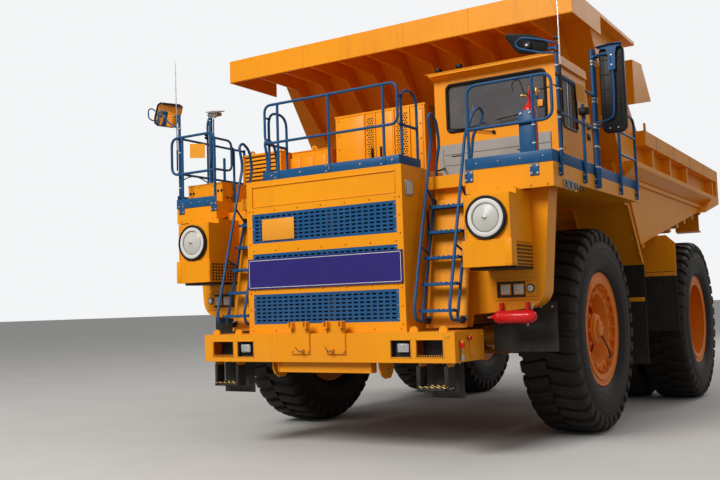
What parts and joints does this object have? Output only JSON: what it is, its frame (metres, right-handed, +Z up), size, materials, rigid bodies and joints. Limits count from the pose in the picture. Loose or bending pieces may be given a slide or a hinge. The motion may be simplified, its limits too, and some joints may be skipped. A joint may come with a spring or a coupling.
{
  "type": "mining dump truck",
  "caption": "Rigid two-axle mining dump truck with a tipping bed, steered front wheels, twin rear wheels, cab with a hinged door, deck, railings and ladders.",
  "frame": {"origin": "on the ground, midway between the ends and the sides of the parked truck", "axes": "+Z up, -Y towards the front bumper, +X towards the cab's side"},
  "size_m": [6.3, 10.44, 5.472],
  "materials": {
    "orange_paint": "weathered orange-yellow paint, chipped and dusty",
    "blue_paint": "worn blue paint",
    "grey_paint": "grey lacquer",
    "purple_paint": "dark blue-purple sign plate",
    "red_paint": "red gas and fire bottles",
    "dark_steel": "dirty dark castings",
    "bright_steel": "ground cylinder rods",
    "rubber": "dusty flexible rubber sheet",
    "tyre": "dusty tyre rubber",
    "black_plastic": "matt black",
    "white_plastic": "white covers and lenses",
    "glass": "slightly tinted cab glass"
  },
  "bodies": {
    "chassis": {"frame": "orange_paint", "frame_cross_members": "orange_paint", "front_bumper": "orange_paint", "bumper_steps": "rubber", "radiator_housing": "orange_paint", "radiator_grilles": "blue_paint", "radiator_core": "dark_steel", "front_board": "purple_paint", "deck": "orange_paint", "fenders": "orange_paint", "mud_flaps": "rubber", "air_cleaners": "orange_paint", "air_cleaner_discs": "white_plastic", "ladders": "blue_paint", "railings": "blue_paint", "electrical_cabinet": "orange_paint", "deck_boxes": "orange_paint", "cab_shell": "orange_paint", "cab_mounts": "rubber", "cab_front_panel": "grey_paint", "cab_glass": "glass", "cab_interior": "black_plastic", "engine_block": "dark_steel", "front_axle": "dark_steel", "front_suspension": "orange_paint", "rear_axle": "dark_steel", "rear_suspension": "orange_paint", "side_tanks": "orange_paint", "pressure_bottles": "red_paint", "mirrors": "black_plastic", "lamps": "white_plastic"},
    "left_knuckle": {"left_knuckle": "dark_steel"},
    "right_knuckle": {"right_knuckle": "dark_steel"},
    "tie_rod": {"tie_rod": "dark_steel"},
    "left_steering_barrel": {"left_steering_barrel": "dark_steel"},
    "right_steering_barrel": {"right_steering_barrel": "dark_steel"},
    "left_steering_rod": {"left_steering_rod": "bright_steel"},
    "right_steering_rod": {"right_steering_rod": "bright_steel"},
    "front_left_wheel": {"front_left_rim": "orange_paint", "front_left_tyre": "tyre"},
    "front_right_wheel": {"front_right_rim": "orange_paint", "front_right_tyre": "tyre"},
    "rear_left_wheels": {"rear_left_rims": "orange_paint", "rear_left_tyres": "tyre"},
    "rear_right_wheels": {"rear_right_rims": "orange_paint", "rear_right_tyres": "tyre"},
    "cab_door": {"cab_door": "orange_paint"},
    "bed": {"bed_floor": "orange_paint", "bed_bolsters": "orange_paint", "bed_sides": "orange_paint", "bed_headboard": "orange_paint", "bed_canopy": "orange_paint", "bed_guards": "orange_paint", "bed_flaps": "rubber"},
    "left_hoist_barrel": {"left_hoist_barrel": "dark_steel"},
    "left_hoist_stage": {"left_hoist_stage": "bright_steel"},
    "left_hoist_rod": {"left_hoist_rod": "bright_steel"},
    "right_hoist_barrel": {"right_hoist_barrel": "dark_steel"},
    "right_hoist_stage": {"right_hoist_stage": "bright_steel"},
    "right_hoist_rod": {"right_hoist_rod": "bright_steel"}
  },
  "joints": [
    {"name": "steering", "type": "hinge", "parent": "chassis", "child": "left_knuckle", "pos_m": [1.5, -2.197, 1.32], "axis": [0, 0, 1], "range_deg": [-38, 38]},
    {"name": "right_steering", "type": "hinge", "parent": "chassis", "child": "right_knuckle", "pos_m": [-1.5, -2.197, 1.32], "axis": [0, 0, 1], "range_deg": [-38, 38]},
    {"name": "tie_rod_turn", "type": "hinge", "parent": "left_knuckle", "child": "tie_rod", "pos_m": [1.5, -1.747, 1.01], "axis": [0, 0, 1], "range_deg": [-38, 38]},
    {"name": "left_steering_barrel_turn", "type": "hinge", "parent": "chassis", "child": "left_steering_barrel", "pos_m": [0.62, -2.017, 1.165], "axis": [0, 0, 1], "range_deg": [-1, 1]},
    {"name": "left_steering_rod_slide", "type": "slide", "parent": "left_steering_barrel", "child": "left_steering_rod", "axis": [0.9908, 0.1351, 0], "range_m": [-0.186, 0.186]},
    {"name": "right_steering_barrel_turn", "type": "hinge", "parent": "chassis", "child": "right_steering_barrel", "pos_m": [-0.62, -2.017, 1.165], "axis": [0, 0, 1], "range_deg": [-1, 1]},
    {"name": "right_steering_rod_slide", "type": "slide", "parent": "right_steering_barrel", "child": "right_steering_rod", "axis": [-0.9908, 0.1351, 0], "range_m": [-0.186, 0.186]},
    {"name": "front_left_wheel_spin", "type": "hinge", "parent": "left_knuckle", "child": "front_left_wheel", "pos_m": [2.128, -2.197, 1.32], "axis": [1, 0, 0], "continuous": true},
    {"name": "rear_left_wheels_spin", "type": "hinge", "parent": "chassis", "child": "rear_left_wheels", "pos_m": [1.973, 2.284, 1.32], "axis": [1, 0, 0], "continuous": true},
    {"name": "front_right_wheel_spin", "type": "hinge", "parent": "right_knuckle", "child": "front_right_wheel", "pos_m": [-2.128, -2.197, 1.32], "axis": [1, 0, 0], "continuous": true},
    {"name": "rear_right_wheels_spin", "type": "hinge", "parent": "chassis", "child": "rear_right_wheels", "pos_m": [-1.973, 2.284, 1.32], "axis": [1, 0, 0], "continuous": true},
    {"name": "cab_door_swing", "type": "hinge", "parent": "chassis", "child": "cab_door", "pos_m": [2.424, -3.318, 3.97], "axis": [0, 0, -1], "range_deg": [0, 44]},
    {"name": "bed_tip", "type": "hinge", "parent": "chassis", "child": "bed", "pos_m": [0, 3.46, 2.56], "axis": [-1, 0, 0], "range_deg": [0, 46]},
    {"name": "left_hoist_barrel_turn", "type": "hinge", "parent": "chassis", "child": "left_hoist_barrel", "pos_m": [0.95, 1.01, 1.4], "axis": [-1, 0, 0], "range_deg": [0, 3.6]},
    {"name": "left_hoist_stage_slide", "type": "slide", "parent": "left_hoist_barrel", "child": "left_hoist_stage", "axis": [0, 0.3121, 0.95], "range_m": [0, 0.8]},
    {"name": "left_hoist_rod_slide", "type": "slide", "parent": "left_hoist_stage", "child": "left_hoist_rod", "axis": [0, 0.3121, 0.95], "range_m": [0, 0.8]},
    {"name": "right_hoist_barrel_turn", "type": "hinge", "parent": "chassis", "child": "right_hoist_barrel", "pos_m": [-0.95, 1.01, 1.4], "axis": [-1, 0, 0], "range_deg": [0, 3.6]},
    {"name": "right_hoist_stage_slide", "type": "slide", "parent": "right_hoist_barrel", "child": "right_hoist_stage", "axis": [0, 0.3121, 0.95], "range_m": [0, 0.8]},
    {"name": "right_hoist_rod_slide", "type": "slide", "parent": "right_hoist_stage", "child": "right_hoist_rod", "axis": [0, 0.3121, 0.95], "range_m": [0, 0.8]}
  ],
  "couplings": [
    {"joint": "right_steering", "follows": "steering", "ratio": 1},
    {"joint": "tie_rod_turn", "follows": "steering", "ratio": -1},
    {"joint": "left_steering_barrel_turn", "follows": "steering", "ratio": 0.0212},
    {"joint": "right_steering_barrel_turn", "follows": "steering", "ratio": 0.0212},
    {"joint": "left_steering_rod_slide", "follows": "steering", "m_per_rad": -0.278},
    {"joint": "right_steering_rod_slide", "follows": "steering", "m_per_rad": 0.278},
    {"joint": "left_hoist_barrel_turn", "follows": "bed_tip", "ratio": 0.0775},
    {"joint": "left_hoist_stage_slide", "follows": "bed_tip", "m_per_rad": 0.9953},
    {"joint": "left_hoist_rod_slide", "follows": "bed_tip", "m_per_rad": 0.9953},
    {"joint": "right_hoist_barrel_turn", "follows": "bed_tip", "ratio": 0.0775},
    {"joint": "right_hoist_stage_slide", "follows": "bed_tip", "m_per_rad": 0.9953},
    {"joint": "right_hoist_rod_slide", "follows": "bed_tip", "m_per_rad": 0.9953}
  ]
}
